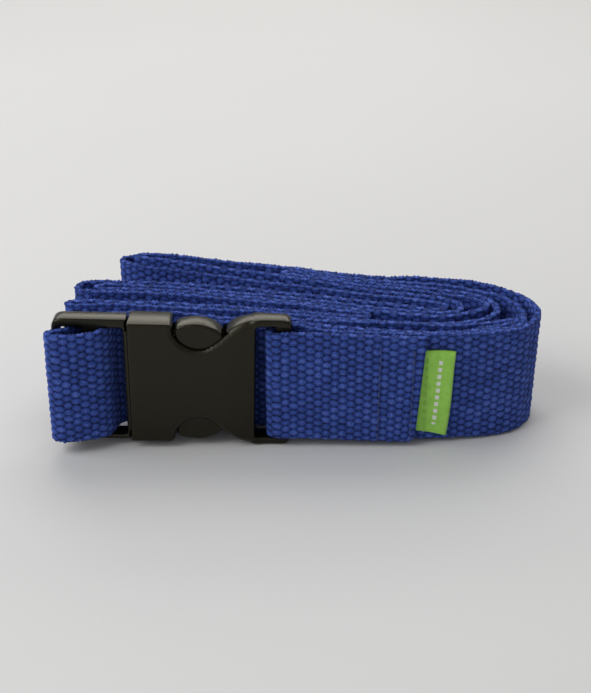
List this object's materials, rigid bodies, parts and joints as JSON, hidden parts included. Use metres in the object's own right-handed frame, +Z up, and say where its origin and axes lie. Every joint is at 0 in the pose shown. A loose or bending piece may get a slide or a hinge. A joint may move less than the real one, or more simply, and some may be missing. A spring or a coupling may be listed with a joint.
{
  "type": "webbing strap with side-release buckle",
  "caption": "Flat woven webbing strap folded into a compact hank standing on its edge, with a plastic side-release buckle, adjustable ladder bar and a small side label.",
  "frame": {"origin": "middle of the base of the folded strap, on the surface it stands on", "axes": "+Z up, +X along the folds from the plug's ladder bar towards the far turns, -Y is the side with the buckle's front face"},
  "size_m": [0.1566, 0.0712, 0.0457],
  "materials": {
    "webbing": "matte weave",
    "buckle": "fine texture with glossy edges",
    "label": "woven label",
    "thread": "sewing thread"
  },
  "bodies": {
    "strap": {"webbing": "webbing", "webbing_tail": "webbing", "socket_body": "buckle", "side_label": "label", "seam_stitching": "thread", "label_stitching": "thread", "hem_stitching": "thread"},
    "plug": {"plug_frame": "buckle", "webbing_plug_loop": "webbing"},
    "prong_upper": {"prong_upper": "buckle"},
    "prong_lower": {"prong_lower": "buckle"}
  },
  "joints": [
    {"name": "plug_slide", "type": "slide", "parent": "strap", "child": "plug", "axis": [-0.9997, 0, 0.0244], "range_m": [0, 0.038], "deforming": ["prong_upper", "prong_lower"]},
    {"name": "prong_upper_press", "type": "hinge", "parent": "plug", "child": "prong_upper", "pos_m": [-0.05052, -0.02642, 0.03865], "axis": [0, 1, 0], "range_deg": [0, 12], "stiffness_Nm_per_rad": 0.8},
    {"name": "prong_lower_press", "type": "hinge", "parent": "plug", "child": "prong_lower", "pos_m": [-0.05125, -0.02642, 0.00866], "axis": [0, -1, 0], "range_deg": [0, 12], "stiffness_Nm_per_rad": 0.8}
  ]
}
